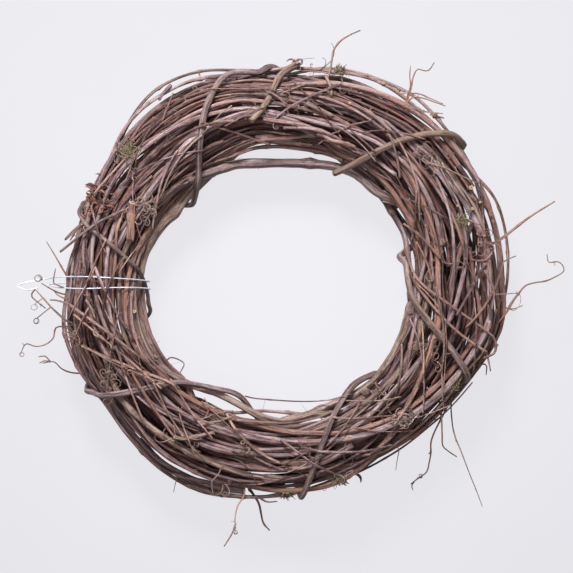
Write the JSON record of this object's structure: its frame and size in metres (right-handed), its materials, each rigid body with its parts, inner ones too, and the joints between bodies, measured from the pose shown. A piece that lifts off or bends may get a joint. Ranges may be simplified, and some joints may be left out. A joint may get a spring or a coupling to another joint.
{
  "type": "grapevine wreath",
  "caption": "Round wreath of coiled grapevine canes bound by wound canes, open in the middle, with curling tendrils, stray twigs and a soft wire hanger",
  "frame": {"origin": "under the middle of the wreath, on the surface that it lies on", "axes": "+Z is the ring's axis and points out of its front face; +Y points to the top of the wreath as it hangs; +X is to the right seen from the front"},
  "size_m": [0.5658, 0.517, 0.0863],
  "materials": {
    "mauve_bark": "dry bark, matt",
    "tan_bark": "bare dry wood, matt",
    "grey_bark": "weathered bark, matt",
    "red_bark": "young bark, matt",
    "binder_bark": "smooth dark bark, matt",
    "wire": "bright soft wire"
  },
  "bodies": {
    "root": {"binder_bottom": "binder_bark", "binder_left": "binder_bark", "binder_lower_left": "binder_bark", "binder_right": "binder_bark", "binder_top": "binder_bark", "binder_top_left": "binder_bark", "binder_upper_right": "binder_bark", "cane_01": "mauve_bark", "cane_02": "mauve_bark", "cane_03": "mauve_bark", "cane_04": "mauve_bark", "cane_05": "mauve_bark", "cane_06": "mauve_bark", "cane_07": "mauve_bark", "cane_08": "mauve_bark", "cane_09": "mauve_bark", "cane_10": "mauve_bark", "cane_11": "mauve_bark", "cane_12": "mauve_bark", "cane_13": "mauve_bark", "cane_14": "mauve_bark", "cane_15": "mauve_bark", "cane_16": "mauve_bark", "cane_17": "mauve_bark", "cane_18": "mauve_bark", "cane_19": "mauve_bark", "cane_20": "mauve_bark", "cane_21": "mauve_bark", "cane_22": "mauve_bark", "cane_23": "mauve_bark", "cane_24": "mauve_bark", "crossing_twig_left_lower": "red_bark", "crossing_twig_left_middle": "red_bark", "crossing_twig_left_upper": "red_bark", "crossing_twig_right_inner": "red_bark", "crossing_twig_right_outer": "red_bark", "grey_cane_across_top_of_hole": "grey_bark", "hooked_cane_right": "mauve_bark", "inner_left_cane": "mauve_bark", "inner_right_cane": "mauve_bark", "knobbly_cane_low_left": "tan_bark", "left_edge_cane": "mauve_bark", "pale_barked_cane_low_right": "tan_bark", "purple_cane_low_right": "mauve_bark", "second_outer_cane_lower_left": "mauve_bark", "second_outer_cane_upper_left": "mauve_bark", "second_outer_cane_upper_right": "mauve_bark", "stray_stick_left": "grey_bark", "tan_cane_lower_left": "tan_bark", "tan_cane_lower_right_inner": "tan_bark", "tan_cane_lower_right_outer": "tan_bark", "tan_cane_upper_left": "tan_bark", "thin_cane_across_bottom_of_hole": "mauve_bark", "thin_outer_cane_lower_left": "red_bark", "thin_outer_cane_right": "red_bark", "thin_outer_cane_upper_left": "grey_bark", "thin_outer_cane_upper_right": "grey_bark", "thin_tan_cane_lower_left": "tan_bark", "upper_right_cane": "mauve_bark", "wire_hanger": "wire"}
  },
  "joints": []
}
